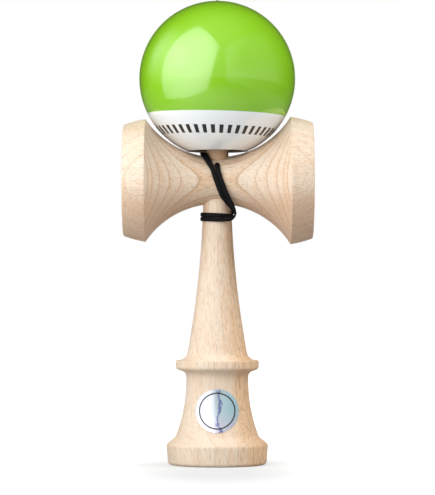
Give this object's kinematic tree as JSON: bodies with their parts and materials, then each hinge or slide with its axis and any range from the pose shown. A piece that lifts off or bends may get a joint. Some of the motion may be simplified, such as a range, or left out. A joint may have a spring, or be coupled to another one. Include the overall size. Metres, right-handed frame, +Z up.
{
  "type": "kendama",
  "caption": "Wooden kendama: a turned handle with a spike and a base cup, a crosspiece with a cup at each end, and a lacquered ball with a spike hole, tied on by a black cord.",
  "frame": {"origin": "on the table under the middle of the base cup", "axes": "+Z up along the handle and spike, +X along the crosspiece towards the big cup, -Y the front, where the cord leaves the crosspiece"},
  "size_m": [0.0726, 0.0621, 0.1792],
  "materials": {
    "handle_wood": "satin clear-sealed beech",
    "crosspiece_wood": "satin clear-sealed beech",
    "ball_lacquer": "gloss lacquer on wood, lime green above and white below",
    "bead": "matte",
    "cord": "braided polyester",
    "foil": "pearly rainbow foil"
  },
  "bodies": {
    "handle": {"handle": "handle_wood", "foil_seal": "foil", "anchor_knot": "cord", "string_turns": "cord"},
    "crosspiece": {"crosspiece": "crosspiece_wood", "string_lead": "cord", "string_rise": "cord"},
    "bead": {"string_bead": "bead", "ball_knot": "cord", "string_slack": "cord"},
    "ball": {"ball": "ball_lacquer"}
  },
  "joints": [
    {"name": "crosspiece_pull", "type": "slide", "parent": "handle", "child": "crosspiece", "axis": [0, 0, 1], "range_m": [0, 0.036], "deforming": ["string_lead", "string_rise"]},
    {"name": "ball_lift", "type": "slide", "parent": "crosspiece", "child": "bead", "axis": [0, 0, 1], "range_m": [0, 0.036], "deforming": ["string_slack"]},
    {"name": "ball_spin", "type": "hinge", "parent": "bead", "child": "ball", "pos_m": [0, 0, 0.1474], "axis": [0, 0, 1], "continuous": true}
  ]
}
